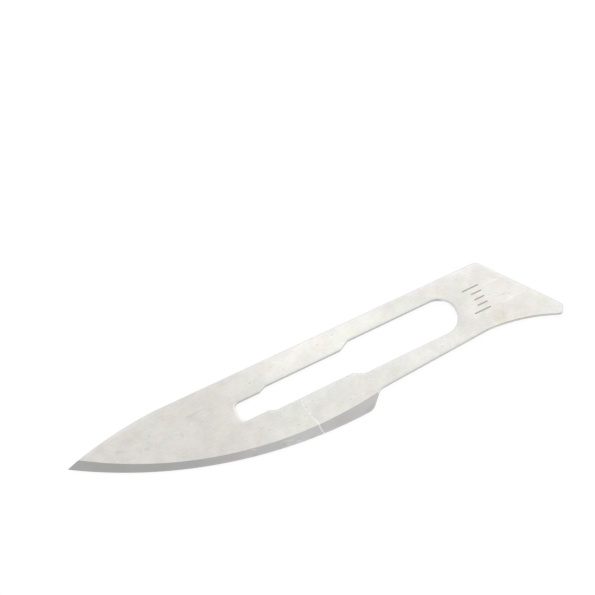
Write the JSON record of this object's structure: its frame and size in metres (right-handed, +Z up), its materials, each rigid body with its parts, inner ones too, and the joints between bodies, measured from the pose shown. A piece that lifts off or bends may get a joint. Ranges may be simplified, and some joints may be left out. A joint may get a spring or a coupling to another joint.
{
  "type": "scalpel blade",
  "caption": "Flat detachable scalpel blade with a deep curved cutting edge, a stepped key slot and a slanted rear end.",
  "frame": {"origin": "centre of the slot's round rear end, on the underside that the blade rests on", "axes": "+X back along the slot to the heel, +Y across the blade to the spine, +Z up through its thickness"},
  "size_m": [0.0444, 0.0083, 0.0004],
  "materials": {
    "blade": "satin, ground on both faces"
  },
  "bodies": {
    "root": {"blade": "blade"}
  },
  "joints": []
}
